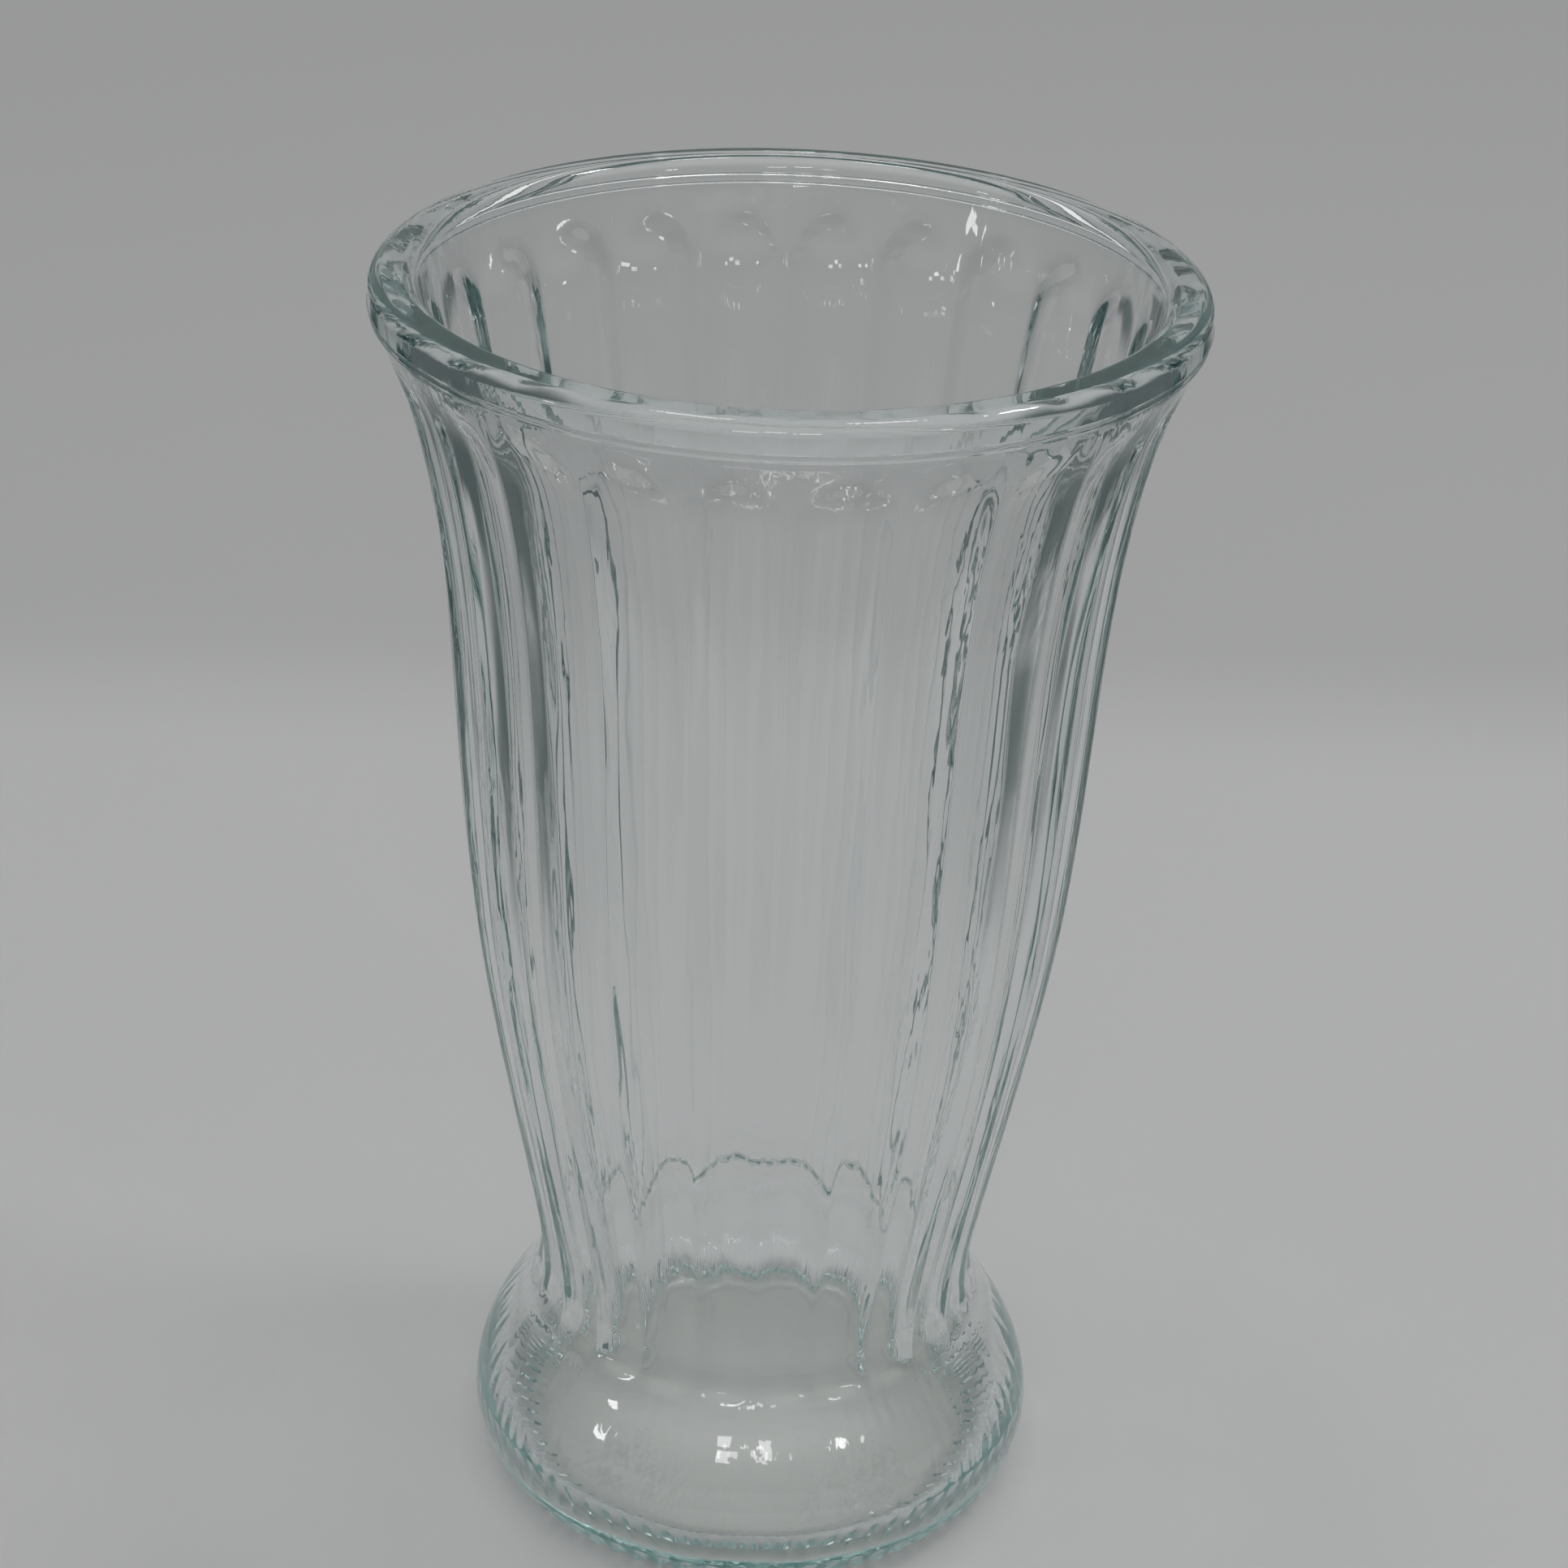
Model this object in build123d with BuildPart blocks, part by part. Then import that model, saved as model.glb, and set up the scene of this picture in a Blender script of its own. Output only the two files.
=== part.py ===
"""Fluted flower vase of clear glass, pressed and blown in one piece: flared neck, waist and bulbous hollow foot."""
import os
from math import cos, pi, sin, sqrt

from build123d import *

os.makedirs("parts", exist_ok=True)

# Outside, measured from the table up and from the axis out, in millimetres
height = 212.0
rim_diameter = 125.0
foot_diameter = 95.6
waist_diameter = 74.0
heel_inset = 5.3
foot_widest_height = 10.2
waist_height = 38.0
body_start_rise = 12.0
body_start_flare = 1.3
body_bulge = 2.9
shoulder_share = 0.43

# Neck and rim: the neck flares up from the body to a plain band that stands on two fine mould steps
neck_drop = 46.0
neck_flare = 9.9
rim_band_height = 4.8
neck_ring_height = 1.5
mould_step = 0.3
neck_top_slope = 0.46
inner_neck_slope = 0.15
rim_round = 2.1

# Thickness of the glass
rim_wall = 7.0
body_wall = 4.6
waist_wall = 4.8
foot_wall = 3.8
floor_thickness = 4.0
floor_corner_round = 8.2
floor_slope = 0.1
bearing_width = 4.2
push_up = 3.0
push_up_slope = 0.3
heel_slope = 0.7

# Hollow flutes, scooped out of the outside by a round form that follows the body
flute_count = 24
flute_scoop_radius = 21.0
flute_ridge_land = 0.9
flute_lift_share = 0.6
flute_end_share = 0.93
flute_stations = 6

rim_radius = rim_diameter / 2
rim_inner_radius = rim_radius - rim_wall
bearing_radius = foot_diameter / 2 - heel_inset
bearing_inner_radius = bearing_radius - bearing_width
band_foot_height = height - rim_band_height
neck_top_height = band_foot_height - neck_ring_height

# Stations of the outline, as radius and height
foot_widest = Vector(foot_diameter / 2, foot_widest_height)
waist = Vector(waist_diameter / 2, waist_height)
shoulder = waist + (foot_widest - waist) * shoulder_share
body_start = waist + Vector(body_start_flare, body_start_rise)
body_top = Vector(rim_radius - neck_flare, height - neck_drop)
body_middle = (body_start + body_top) / 2 + Vector(body_bulge, 0)
neck_top = Vector(rim_radius - 2 * mould_step, neck_top_height)
bearing = Vector(bearing_radius, 0)
up = Vector(0, 1)
inward = Vector(-1, 0)
flaring = Vector(neck_top_slope, 1)

# The same stations on the inside, one thickness of glass in
inner_foot = Vector(foot_widest.X - foot_wall, floor_thickness + floor_corner_round)
inner_waist = waist - Vector(waist_wall, 0)
inner_shoulder = inner_waist + (inner_foot - inner_waist) * shoulder_share
inner_body_start = body_start - Vector(body_wall, 0)
inner_body_middle = body_middle - Vector(body_wall, 0)
inner_body_top = body_top - Vector(body_wall, 0)
inner_rim = Vector(rim_inner_radius, height - rim_round)
inner_flaring = Vector(inner_neck_slope, 1)
floor_edge = inner_foot - Vector(floor_corner_round, floor_corner_round)
floor_middle = Vector(0, push_up + floor_thickness)
under_middle = Vector(0, push_up)
bearing_inner = Vector(bearing_inner_radius, 0)
dished = inward + up * floor_slope

# Rounded top of the rim, with a flat between its two edges
band_top = Vector(rim_radius, height - rim_round)
rim_outer_edge = Vector(rim_radius - rim_round, height)
rim_inner_edge = Vector(rim_inner_radius + rim_round, height)

with BuildPart() as vase:
    with BuildSketch(Plane.XZ) as section:
        with BuildLine():
            outside = Spline(waist, body_start, body_middle, body_top, neck_top, tangents=(up, flaring))
            Spline(waist, shoulder, foot_widest, tangents=(-up, -up))
            Spline(foot_widest, bearing, tangents=(-up, inward - up * heel_slope))
            Polyline(
                neck_top,
                neck_top + Vector(mould_step, 0),
                (rim_radius - mould_step, band_foot_height),
                (rim_radius, band_foot_height),
                band_top,
            )
            Spline(band_top, rim_outer_edge, tangents=(up, inward))
            Line(rim_outer_edge, rim_inner_edge)
            Spline(rim_inner_edge, inner_rim, tangents=(inward, -inner_flaring))
            Spline(
                inner_waist, inner_body_start, inner_body_middle, inner_body_top, inner_rim,
                tangents=(up, inner_flaring),
            )
            Spline(inner_waist, inner_shoulder, inner_foot, tangents=(-up, -up))
            Spline(inner_foot, floor_edge, tangents=(-up, dished))
            Spline(floor_edge, floor_middle, tangents=(dished, inward))
            Line(floor_middle, under_middle)
            Spline(under_middle, bearing_inner, tangents=(-inward, -inward - up * push_up_slope))
            Line(bearing_inner, bearing)
        make_face()
    revolve(axis=Axis.Z)


def scoop_centre(share):
    """Centre of the scoop at a share of the way up the outside, so that the land is left between two flutes."""
    surface = outside @ share
    along = outside % share
    half_angle = pi / flute_count - flute_ridge_land / surface.X / 2
    half_width = surface.X * sin(half_angle)
    chord_middle = Vector(surface.X * cos(half_angle), surface.Y)
    return chord_middle + Vector(along.Y, -along.X) * sqrt(flute_scoop_radius**2 - half_width**2)


# A wider foot lifts the lower ends of the flutes, so that they stay clear of the hollow inside it
flute_start_share = (foot_widest.X - waist.X) * flute_lift_share / outside.length
flute_step_share = (flute_end_share - flute_start_share) / (flute_stations - 1)
flute_shares = [flute_start_share + flute_step_share * i for i in range(flute_stations)]

with BuildPart() as flute:
    with BuildLine() as scoop_line:
        Spline(*[scoop_centre(share) for share in flute_shares])
    scoop_path = Plane.XZ * scoop_line.line
    with BuildSketch(Plane(origin=scoop_path @ 0, x_dir=(0, 1, 0), z_dir=scoop_path % 0)):
        Circle(flute_scoop_radius)
    sweep(path=scoop_path)
    with Locations(scoop_path @ 0, scoop_path @ 1):
        Sphere(flute_scoop_radius)

with vase:
    with PolarLocations(0, flute_count, start_angle=180 / flute_count):
        add(flute.part, mode=Mode.SUBTRACT)

vase.part.label = "vase"
export_step(vase.part, "parts/vase.step")
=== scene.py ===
from math import cos, pi, radians, sin

import bpy
import numpy as np
from mathutils import Matrix, Vector
from mathutils.geometry import interpolate_bezier


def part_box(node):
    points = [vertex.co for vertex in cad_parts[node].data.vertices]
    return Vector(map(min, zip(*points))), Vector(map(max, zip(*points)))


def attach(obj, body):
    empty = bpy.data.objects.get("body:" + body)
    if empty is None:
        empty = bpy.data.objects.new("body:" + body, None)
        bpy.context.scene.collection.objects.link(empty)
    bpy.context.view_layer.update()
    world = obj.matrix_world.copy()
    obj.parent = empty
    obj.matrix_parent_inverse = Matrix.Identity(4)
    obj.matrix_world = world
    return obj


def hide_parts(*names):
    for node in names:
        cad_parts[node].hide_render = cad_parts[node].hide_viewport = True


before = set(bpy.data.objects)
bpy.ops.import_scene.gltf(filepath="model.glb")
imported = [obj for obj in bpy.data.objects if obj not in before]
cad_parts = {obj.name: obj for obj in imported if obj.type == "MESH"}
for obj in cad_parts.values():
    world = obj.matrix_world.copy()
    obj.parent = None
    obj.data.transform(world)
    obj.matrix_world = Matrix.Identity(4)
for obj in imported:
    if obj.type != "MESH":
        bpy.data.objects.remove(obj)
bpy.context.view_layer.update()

# Outline of the vase
# The glass is pressed and blown against one iron mould, which gives the outside its foot, waist, body and
# flared neck. The inside follows at the thickness of the glass, and the rim is melted round afterwards.
_, vase_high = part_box("vase")
height = vase_high.z
rim_radius = vase_high.x
up = Vector((0, 1))
inward = Vector((-1, 0))


def slope(flare):
    """Way up along the outline where the radius grows by flare for each unit of height."""
    return Vector((flare, 1)).normalized()


def run(count, *stations):
    """Points along the outline through stations of a place and a way, count of them to each stretch."""
    points = []
    for (start, start_way), (end, end_way) in zip(stations, stations[1:]):
        reach = (end - start).length / 3
        handles = (start + start_way * reach, end - end_way * reach)
        points += interpolate_bezier(start, *handles, end, count + 1)[:-1]
    return points + [stations[-1][0]]


neck_drop = 0.0460
neck_inset = 0.0099
neck_flare = 0.46
shoulder_flare = -0.72
heel_way = Vector((-1, -0.7)).normalized()
bearing = Vector((0.0425, 0.0))
bearing_inner = Vector((0.0383, 0.0))
foot_widest = Vector((0.0478, 0.0102))
foot_shoulder = Vector((0.04164, 0.02605))
waist = Vector((0.0370, 0.0380))
body_start = Vector((0.0383, 0.0500))
body_middle = Vector((0.04835, 0.1080))
body_top = Vector((rim_radius - neck_inset, height - neck_drop))
neck_top = Vector((rim_radius - 0.0006, height - 0.0063))

foot_rows = 26
body_rows = 40
foot_outside = run(
    foot_rows,
    (bearing, -heel_way),
    (foot_widest, up),
    (foot_shoulder, slope(shoulder_flare)),
    (waist, up),
)
body_outside = run(
    body_rows,
    (waist, up),
    (body_start, slope(0.1765)),
    (body_middle, slope(0.1163)),
    (body_top, slope(0.0974)),
    (neck_top, slope(neck_flare)),
)

# Band and rim
# Two parts of the mould meet under the rim and leave two fine lines round the neck, each a small step with a
# bead. The plain band above them ends in the rim, which a flame has rounded on both edges.
mould_step = 0.0003
step_run = 0.00025
bead_height = 0.00015
band_foot_height = height - 0.0048
rim_round = 0.0021
rim_inner_radius = rim_radius - 0.0070
inner_neck_flare = 0.15
band_top = Vector((rim_radius, height - rim_round))
rim_outer_edge = Vector((rim_radius - rim_round, height))
rim_inner_edge = Vector((rim_inner_radius + rim_round, height))
inner_rim = Vector((rim_inner_radius, height - rim_round))
bead_rows = 5
rim_rows = 10


def mould_line(radius, foot):
    """A fine step out of the neck with a bead of glass along it."""
    start = Vector((radius, foot))
    bead = Vector((radius + mould_step + bead_height, foot + step_run))
    end = Vector((radius + mould_step, foot + 2 * step_run))
    return run(bead_rows, (start, up), (bead, up), (end, up))


band_outside = mould_line(neck_top.x, neck_top.y + step_run)
band_outside += mould_line(rim_radius - mould_step, band_foot_height)
rim_top = run(rim_rows, (band_top, up), (rim_outer_edge, inward))
rim_top += run(rim_rows, (rim_inner_edge, inward), (inner_rim, -slope(inner_neck_flare)))

# Inside and underside
# Air blows the hot glass out, so the inside follows the mould at the thickness of the wall. The foot stays
# hollow, its floor is dished, and the underside is pushed up clear of the table inside the bearing ring.
inner_body_top = Vector((0.0480, height - neck_drop))
inner_body_middle = Vector((0.04375, 0.1080))
inner_body_start = Vector((0.0337, 0.0500))
inner_waist = Vector((0.0322, 0.0380))
inner_shoulder = Vector((0.03727, 0.02691))
inner_shoulder_flare = -0.8894
inner_foot = Vector((0.0440, 0.0122))
floor_edge = Vector((0.0358, 0.0040))
floor_way = Vector((-1, 0.1)).normalized()
floor_height = 0.0070
push_up = 0.0030
push_up_way = Vector((1, -0.1)).normalized()
middle_radius = 0.0015
inside_rows = 36
floor_rows = 20
underside_rows = 24
ring_rows = 8

body_inside = run(
    inside_rows,
    (inner_rim, -slope(inner_neck_flare)),
    (inner_body_top, -slope(0.1266)),
    (inner_body_middle, -slope(0.1037)),
    (inner_body_start, -slope(0.2011)),
    (inner_waist, -up),
)
foot_inside = run(
    floor_rows,
    (inner_waist, -up),
    (inner_shoulder, -slope(inner_shoulder_flare)),
    (inner_foot, -up),
    (floor_edge, floor_way),
    (Vector((middle_radius, floor_height)), inward),
)
under_middle = Vector((middle_radius, push_up))
underside = run(underside_rows, (under_middle, -inward), (bearing_inner, push_up_way))
bearing_ring = run(ring_rows, (bearing_inner, -inward), (bearing, -inward))[1:-1]

# Flutes
# Hollow flutes run up the outside from the instep of the foot to the neck, side by side, with a narrow land
# left between them. Each is the trace of a round form that follows the wall. It goes straight down past the
# waist, where it ends in a steep round scoop, and ends softly in the neck.
flute_count = 24
flute_scoop = 0.0210
flute_land = 0.0006
flute_low = 0.0345
flute_low_round = 0.0025
flute_low_lift = 0.0032
flute_high = 0.1940
ridge_melt = 0.0007
columns_to_flute = 24
columns = flute_count * columns_to_flute
turn = np.arange(columns) * 2 * pi / columns
flute_turn = (turn % (2 * pi / flute_count)) - pi / flute_count


def outward_ways(points):
    """Ways out of the glass in the section, square to a run of the outline that goes up."""
    along = np.gradient(np.array(points), axis=0)
    along /= np.linalg.norm(along, axis=1)[:, None]
    return np.stack([along[:, 1], -along[:, 0]], axis=1)


def scoop_centres(points, ways):
    """Places in the section that the round form goes through, so that the land stays between flutes."""
    radius = points[:, 0]
    half_turn = pi / flute_count - flute_land / radius / 2
    chord = np.stack([radius * np.cos(half_turn), points[:, 1]], axis=1)
    out = np.sqrt(flute_scoop**2 - (radius * np.sin(half_turn)) ** 2)
    return chord + ways * out[:, None]


wall = np.array([*foot_outside[:-1], *body_outside])
wall_ways = outward_ways(wall)
row_centres = scoop_centres(wall, wall_ways)
waist_centre = row_centres[len(foot_outside) - 1, 0]
top_row = np.flatnonzero(wall[:, 1] <= flute_high)[-1]
centre_rows = np.clip(np.arange(len(wall)), 0, top_row)
past_low = np.clip((flute_low - wall[:, 1]) / flute_low_round, 0, 1)
low_lift = np.where(past_low < 1, (1 - np.sqrt(1 - past_low**2)) * flute_low_lift, flute_scoop)
centres = row_centres[centre_rows] + wall_ways[centre_rows] * low_lift[:, None]
below_waist = wall[:, 1] < waist.y
straight_down = waist_centre + low_lift[below_waist]
centres[below_waist, 0] = np.minimum(centres[below_waist, 0], straight_down)

wall_x = wall[:, :1] * np.cos(flute_turn)
wall_y = wall[:, :1] * np.sin(flute_turn)
way_x = wall_ways[:, :1] * np.cos(flute_turn)
way_y = wall_ways[:, :1] * np.sin(flute_turn)
from_x = wall_x - centres[:, :1]
from_z = wall[:, 1:] - centres[:, 1:]
toward = way_x * from_x + way_y * wall_y + wall_ways[:, 1:] * from_z
inside_scoop = toward**2 - (from_x**2 + wall_y**2 + from_z**2) + flute_scoop**2
cut = toward + np.sqrt(np.maximum(inside_scoop, 0))
cut = np.where(inside_scoop > 0, cut, -flute_scoop)
cut = (cut + np.sqrt(cut**2 + ridge_melt**2)) / 2

# Knurls
# Small grooves round the heel and across the bearing ring keep the hot glass off the belt of the annealing
# oven, and let the vase stand without scraping. They are part of the mould.
knurl_count = 72
knurl_depth = 0.0010
knurl_top = 0.0060
knurl_wave = 0.5 - 0.5 * np.cos(turn * knurl_count)
heel_rows = np.arange(len(wall)) < len(foot_outside)
heel_fade = np.clip(1 - (wall[:, 1] / knurl_top) ** 2, 0, 1) * heel_rows
heel_knurl = knurl_wave * heel_fade[:, None] * knurl_depth
ring_fade = np.array([(p.x - bearing_inner.x) / (bearing.x - bearing_inner.x) for p in bearing_ring])
ring_knurl = knurl_wave * ring_fade[:, None] * knurl_depth

# Body of glass
# One solid skin goes up the outside, over the rim, down the inside and across the floor. The inside was
# shaped by air alone, so it waves a little, and the mould leaves a fainter wave on the outside.
slow_wave_height = 0.00008
streak_height = 0.000018
mould_wave_height = 0.000012
wave_draw = np.random.default_rng(7)


def glass_wave(points, count, turns, rises):
    """Waves over the glass, from about -1 to 1, for each point of a run and each column."""
    waves = np.zeros((len(points), columns))
    for _ in range(count):
        turned = wave_draw.integers(*turns) * turn[None] + wave_draw.uniform(0, 2 * pi)
        waves += np.cos(turned + wave_draw.uniform(-rises, rises) * points[:, 1:])
    return waves / np.sqrt(count)


def rings(points, ways=None, depth=0):
    """Rings of points round the axis from a run of the outline, sunk by depth along ways."""
    points = np.array(points)
    radius = np.repeat(points[:, :1], columns, 1)
    rise = np.repeat(points[:, 1:], columns, 1)
    if ways is not None:
        radius = radius - ways[:, :1] * depth
        rise = rise - ways[:, 1:] * depth
    return np.stack([radius * np.cos(turn), radius * np.sin(turn), rise], axis=2)


mould_wave = glass_wave(wall, count=30, turns=(3, 30), rises=160) * mould_wave_height
wall_sunk = cut + heel_knurl + mould_wave * np.clip(wall[:, 1:] / waist.y, 0, 1)
inside = np.array([*body_inside[1:], *foot_inside[1:]])
inside_ways = -outward_ways(inside)
inside_wave = glass_wave(inside, count=26, turns=(2, 15), rises=140) * slow_wave_height
inside_wave += glass_wave(inside, count=60, turns=(30, 110), rises=240) * streak_height
inside_settled = np.clip((height - inside[:, 1:]) / (height - band_foot_height) - 1, 0, 1)
inside_sunk = inside_wave * inside_settled * np.clip(inside[:, :1] / waist.x, 0, 1) ** 2
ring_ways = np.tile([[0.0, -1.0]], (len(bearing_ring), 1))

skin = np.concatenate(
    [
        rings(underside),
        rings(bearing_ring, ring_ways, ring_knurl),
        rings(wall, wall_ways, wall_sunk),
        rings(band_outside),
        rings(rim_top),
        rings(inside, inside_ways, inside_sunk),
    ]
)
row_count = len(skin)
corner = np.arange(row_count - 1)[:, None] * columns + np.arange(columns)
beside = np.arange(row_count - 1)[:, None] * columns + (np.arange(columns) + 1) % columns
quads = np.stack([corner, beside, beside + columns, corner + columns], axis=2).reshape(-1, 4)
vertices = skin.reshape(-1, 3)
under_pole, floor_pole = len(vertices), len(vertices) + 1
poles = [(0, 0, push_up), (0, 0, floor_height)]
first_ring = np.arange(columns)
last_ring = first_ring + (row_count - 1) * columns
under_cap = [(under_pole, int(b), int(a)) for a, b in zip(first_ring, np.roll(first_ring, -1))]
floor_cap = [(floor_pole, int(a), int(b)) for a, b in zip(last_ring, np.roll(last_ring, -1))]

vase_mesh = bpy.data.meshes.new("vase_glass")
vase_mesh.from_pydata([*vertices.tolist(), *poles], [], [*quads.tolist(), *under_cap, *floor_cap])
vase_mesh.polygons.foreach_set("use_smooth", [True] * len(vase_mesh.polygons))
vase_mesh.update()
vase = bpy.data.objects.new("vase_glass", vase_mesh)
bpy.context.scene.collection.objects.link(vase)


# Clear glass
# Soda-lime glass with a faint blue-green tint from iron in the sand, which shows where it is thick. The skin
# has faint streaks where it was drawn down the mould, and smudges from handling.
class Shade:
    """A socket in a material's nodes. Sums and products of it with others or with numbers add nodes."""

    def __init__(self, tree, socket=None):
        self.tree = tree
        self.socket = socket

    def node(self, kind, settings=None, inputs=None, output=0):
        """Adds a node, sets it up, fills or links its sockets and gives back one of its outputs."""
        made = self.tree.nodes.new("ShaderNode" + kind)
        for name, value in (settings or {}).items():
            setattr(made, name, value)
        for name, value in (inputs or {}).items():
            if isinstance(value, Shade):
                self.tree.links.new(value.socket, made.inputs[name])
            else:
                made.inputs[name].default_value = value
        return Shade(self.tree, made.outputs[output])

    def maths(self, operation, first, second=0):
        return self.node("Math", {"operation": operation}, {0: first, 1: second})

    def ramp(self, low, high):
        """Rises smoothly from 0 where the value is low to 1 where it is high."""
        values = {"Value": self, "From Min": low, "From Max": high}
        return self.node("MapRange", {"interpolation_type": "SMOOTHSTEP"}, values)

    def mixed(self, first, second):
        """Colour between two colours, with the value as the share of the second."""
        return self.node("Mix", {"data_type": "RGBA"}, {"Factor": self, 6: first, 7: second}, 2)

    def __sub__(self, other):
        return self.maths("SUBTRACT", self, other)

    def __rsub__(self, other):
        return self.maths("SUBTRACT", other, self)

    def __mul__(self, other):
        return self.maths("MULTIPLY", self, other)

    __rmul__ = __mul__


glass_tint = (0.46, 0.655, 0.64, 1.0)
glass_density = 15.0
glass_index = 1.52
streak_scale = (420.0, 420.0, 60.0)
streak_depth = 0.0004
streak_strength = 0.25
patch_scale = 30.0
patch_start, patch_end = 0.42, 0.68
smudge_scale = 70.0
smudge_start, smudge_end = 0.45, 0.75
smudge_blur = 0.03

glass = bpy.data.materials.new("clear_glass")
glass.use_nodes = True
glass_tree = glass.node_tree
glass_shader = glass_tree.nodes["Principled BSDF"]
glass_shader.inputs["Base Color"].default_value = (1, 1, 1, 1)
glass_shader.inputs["IOR"].default_value = glass_index
glass_shader.inputs["Transmission Weight"].default_value = 1.0
spot = Shade(glass_tree).node("TexCoord", output="Object")
drawn = spot.node("Mapping", inputs={"Vector": spot, "Scale": streak_scale})
patches = spot.node("TexNoise", inputs={"Vector": spot, "Scale": patch_scale, "Detail": 2.0})
streaks = drawn.node("TexNoise", inputs={"Vector": drawn, "Scale": 1.0, "Detail": 2.0})
streaks = streaks * patches.ramp(patch_start, patch_end)
bump_sockets = {"Strength": streak_strength, "Distance": streak_depth, "Height": streaks}
streak_bump = streaks.node("Bump", inputs=bump_sockets, output="Normal")
glass_tree.links.new(streak_bump.socket, glass_shader.inputs["Normal"])
smudge = spot.node("TexNoise", inputs={"Vector": spot, "Scale": smudge_scale, "Detail": 4.0})
smudge = smudge.ramp(smudge_start, smudge_end) * smudge_blur
glass_tree.links.new(smudge.socket, glass_shader.inputs["Roughness"])
tint = Shade(glass_tree).node("VolumeAbsorption", inputs={"Color": glass_tint, "Density": glass_density})
glass_tree.links.new(tint.socket, glass_tree.nodes["Material Output"].inputs["Volume"])
vase_mesh.materials.append(glass)

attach(vase, "root")
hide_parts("vase")

# Table
# The vase stands on a plain matte table top. It is pale around the vase and a little dimmer far behind. Its
# foot stands in a painted shadow, tinted slightly warm by painted light through the glass, and both sides
# carry painted shade for the dim sides of the room, where the edges of the clear glass take their dark lines
# from.
table_half = 3.0
table_drop = 0.0001
table_grey = (0.50, 0.50, 0.50, 1.0)
table_far_grey = (0.425, 0.425, 0.425, 1.0)
# Painted shadow under the foot, slightly warm for painted light through the glass.
table_under_painted_shadow = (0.425, 0.425, 0.405, 1.0)
# Painted shade: a dark teal grey on the table off to both sides, for the dim sides of the room.
table_side_painted_shade = (0.095, 0.118, 0.118, 1.0)
table_roughness = 0.9
table_gloss = 0.1
far_start, far_end = 0.25, 0.34
side_shade_start, side_shade_end = 0.162, 0.272
side_shade_shift = 0.012
side_shade_spread = 0.25
under_shadow_start, under_shadow_end = 0.036, 0.046
table_corners = [(-1, -1), (1, -1), (1, 1), (-1, 1)]
table_mesh = bpy.data.meshes.new("table_top")
table_points = [(x * table_half, y * table_half, -table_drop) for x, y in table_corners]
table_mesh.from_pydata(table_points, [], [(0, 1, 2, 3)])
table = bpy.data.objects.new("table_top", table_mesh)
bpy.context.scene.collection.objects.link(table)
table_finish = bpy.data.materials.new("matte_table")
table_finish.use_nodes = True
table_tree = table_finish.node_tree
table_shader = table_tree.nodes["Principled BSDF"]
place = Shade(table_tree).node("TexCoord", output="Object")
across = place.node("SeparateXYZ", inputs={"Vector": place}, output="X")
back = place.node("SeparateXYZ", inputs={"Vector": place}, output="Y")
off_middle = across - side_shade_shift
painted_shade_aside = off_middle.maths("ABSOLUTE", off_middle) - side_shade_spread * back.maths("MAXIMUM", back)
middle_colour = back.ramp(far_start, far_end).mixed(table_grey, table_far_grey)
from_axis = place.node("VectorMath", {"operation": "LENGTH"}, {0: place}, "Value")
# Mixes in the painted shadow under the foot, near the axis.
pale_colour = from_axis.ramp(under_shadow_start, under_shadow_end).mixed(table_under_painted_shadow, middle_colour)
# Mixes in the painted shade off to both sides, which widens towards the back.
table_colour = painted_shade_aside.ramp(side_shade_start, side_shade_end).mixed(pale_colour, table_side_painted_shade)
table_tree.links.new(table_colour.socket, table_shader.inputs["Base Color"])
table_shader.inputs["Roughness"].default_value = table_roughness
table_shader.inputs["Specular IOR Level"].default_value = table_gloss
table_mesh.materials.append(table_finish)

# Light
# The room is plain and soft: a pale ceiling gives most of the light, a pale wall stands behind the table,
# and the other sides of the room are dim. Small lamps above and in front give the glass its bright spots.
ceiling_light = (0.88, 0.88, 0.88, 1.0)
back_wall_light = (0.33, 0.33, 0.33, 1.0)
dim_light = (0.062, 0.084, 0.084, 1.0)
ceiling_start, ceiling_end = 0.3, 0.8
side_wall_start, side_wall_end = 0.45, 0.75
front_wall_start, front_wall_end = -0.1, 0.4
room = bpy.data.worlds.new("room")
room.use_nodes = True
room_tree = room.node_tree
way_out = Shade(room_tree).node("TexCoord", output="Generated")
way_aside = way_out.node("SeparateXYZ", inputs={"Vector": way_out}, output="X")
way_back = way_out.node("SeparateXYZ", inputs={"Vector": way_out}, output="Y")
way_up = way_out.node("SeparateXYZ", inputs={"Vector": way_out}, output="Z")
to_side = way_aside.maths("ABSOLUTE", way_aside).ramp(side_wall_start, side_wall_end)
to_front = (0 - way_back).ramp(front_wall_start, front_wall_end)
wall_light = to_side.maths("MAXIMUM", to_side, to_front).mixed(back_wall_light, dim_light)
room_light = way_up.ramp(ceiling_start, ceiling_end).mixed(wall_light, ceiling_light)
room_tree.links.new(room_light.socket, room_tree.nodes["Background"].inputs["Color"])
scene = bpy.context.scene
scene.world = room

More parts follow.
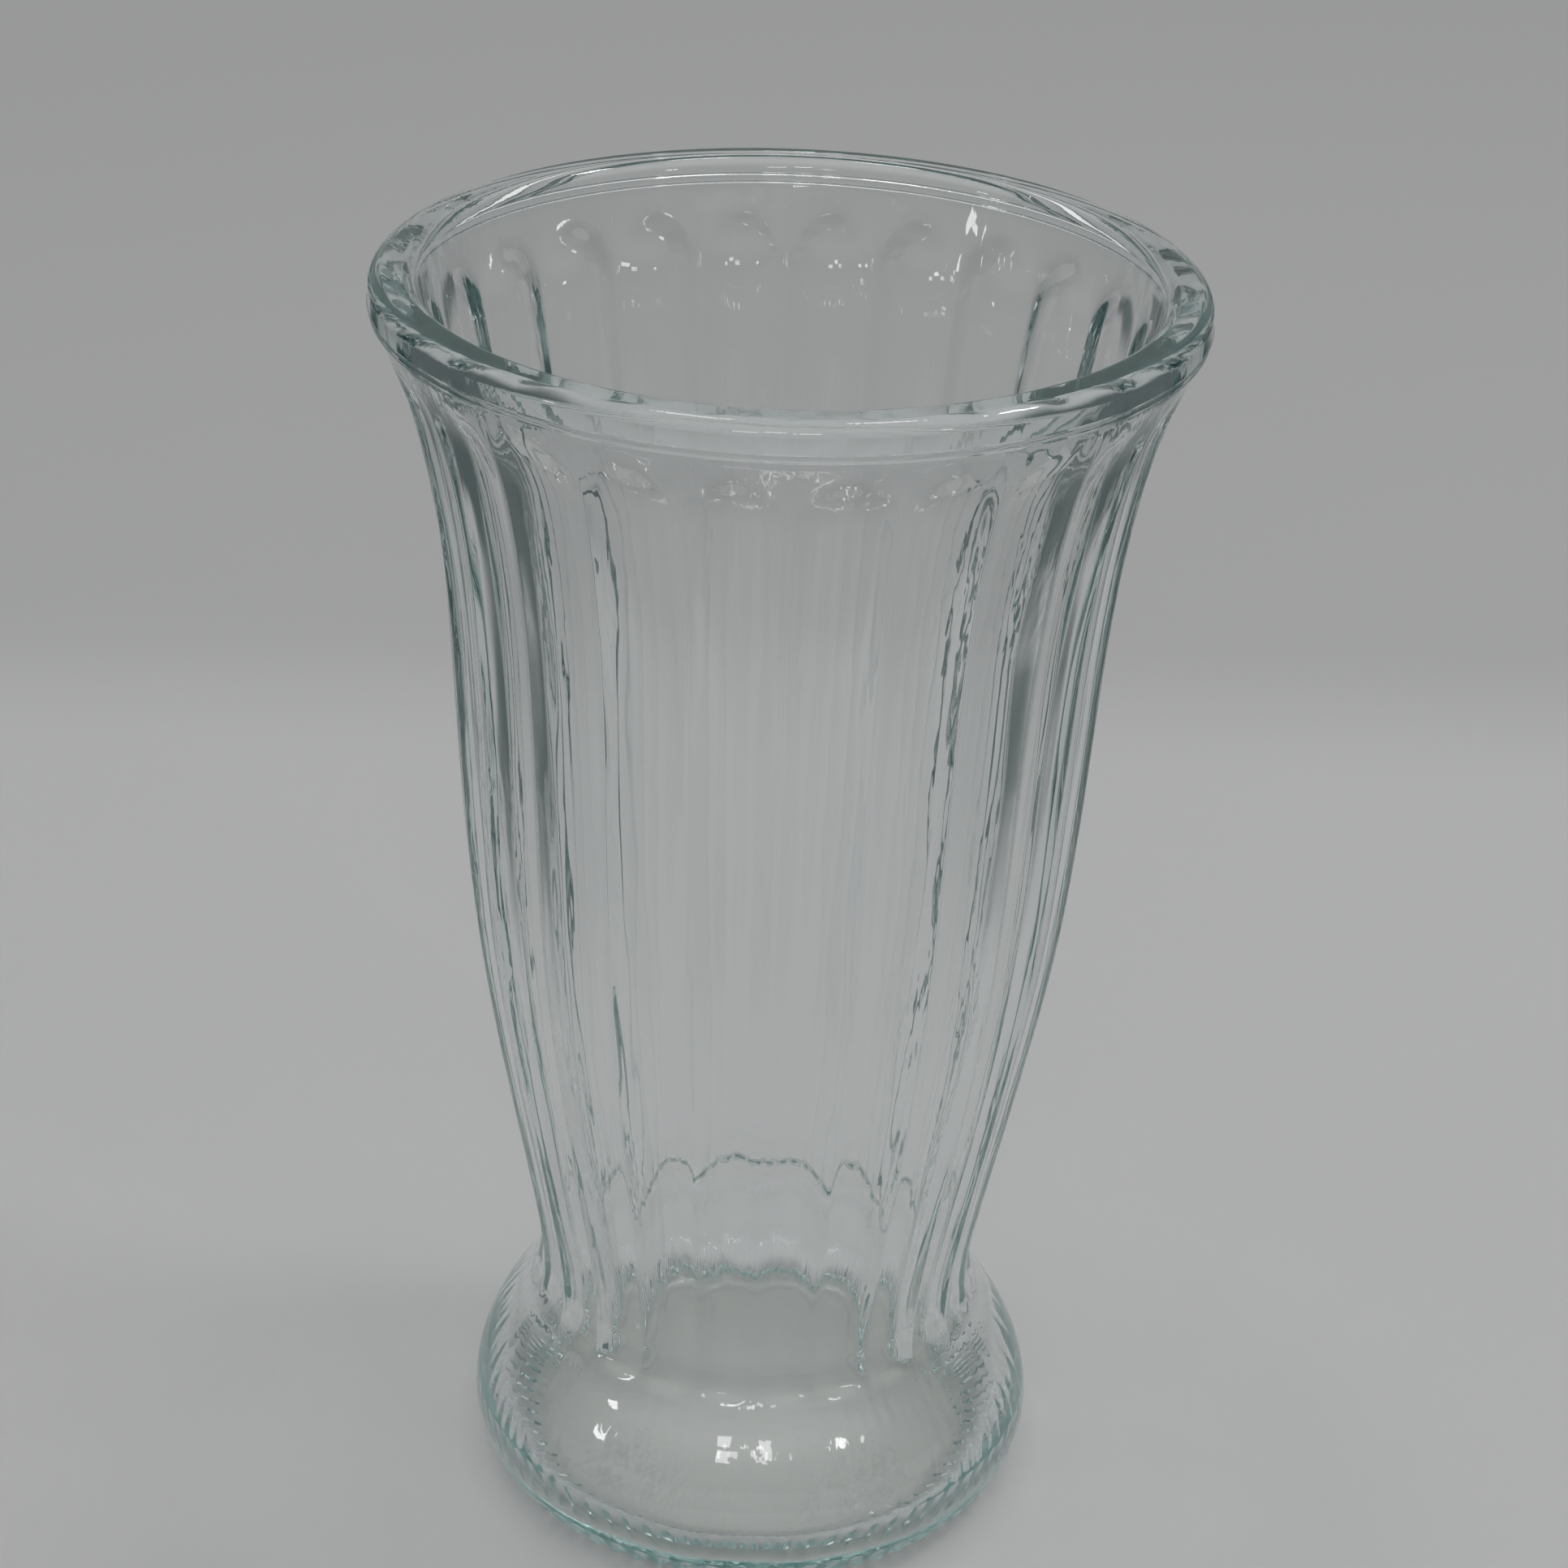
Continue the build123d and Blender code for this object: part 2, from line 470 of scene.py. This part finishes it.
for lamp_name, lamp_place, lamp_size, lamp_power in (
    ("lamp_left", (-0.27, 0.15, 1.5), 0.2, 0.8),
    ("lamp_right", (0.28, 0.15, 1.5), 0.2, 0.8),
    ("lamp_far_right", (0.86, 0.15, 1.5), 0.2, 2.5),
    ("front_lamp_high", (-0.08, -1.28, 0.93), 0.13, 0.5),
    ("front_lamp_low", (0.12, -1.33, 0.80), 0.15, 0.5),
    ("front_lamp_beside", (-0.28, -1.32, 0.76), 0.13, 0.4),
    ("side_lamp_left", (-1.30, -0.66, 0.46), 0.10, 0.4),
    ("side_lamp_right", (0.87, -1.02, 0.74), 0.10, 0.4),
):
    lamp = bpy.data.lights.new(lamp_name, "AREA")
    lamp.size = lamp_size
    lamp.energy = lamp_power
    holder = bpy.data.objects.new(lamp_name, lamp)
    holder.location = lamp_place
    holder.rotation_euler = Vector(lamp_place).to_track_quat("Z", "Y").to_euler()
    scene.collection.objects.link(holder)

scene.cycles.max_bounces = 64
scene.cycles.transmission_bounces = 64
scene.cycles.glossy_bounces = 48
scene.cycles.blur_glossy = 0.0
scene.view_settings.view_transform = "Standard"

# Camera
# It looks down into the mouth from in front, held a little tilted, with a ridge between two flutes nearly
# in the middle.
image_size = 1932
focal_pixels = 4200
sensor_width = 36.0
camera_distance = 0.5435
camera_rise = radians(27.38)
camera_roll = radians(2.27)
camera_turn = radians(-1.3)
aim_height = 0.1263
axis_pixel = 952.1
forward = Vector((0, cos(camera_rise), -sin(camera_rise)))
upright = Vector((0, sin(camera_rise), cos(camera_rise)))
sideways = Vector((1, 0, 0))
shift_aside = sideways * ((image_size / 2 - axis_pixel) / focal_pixels * camera_distance)
camera_place = Vector((0, 0, aim_height)) - forward * camera_distance + shift_aside
camera_x = sideways * cos(camera_roll) + upright * sin(camera_roll)
camera_y = upright * cos(camera_roll) - sideways * sin(camera_roll)
camera_frame = Matrix((camera_x, camera_y, -forward)).transposed().to_4x4()
camera_frame.translation = camera_place
lens = bpy.data.cameras.new("camera")
lens.sensor_width = sensor_width
lens.lens = focal_pixels / image_size * sensor_width
camera = bpy.data.objects.new("camera", lens)
camera.matrix_world = Matrix.Rotation(camera_turn, 4, "Z") @ camera_frame
scene.collection.objects.link(camera)
scene.camera = camera
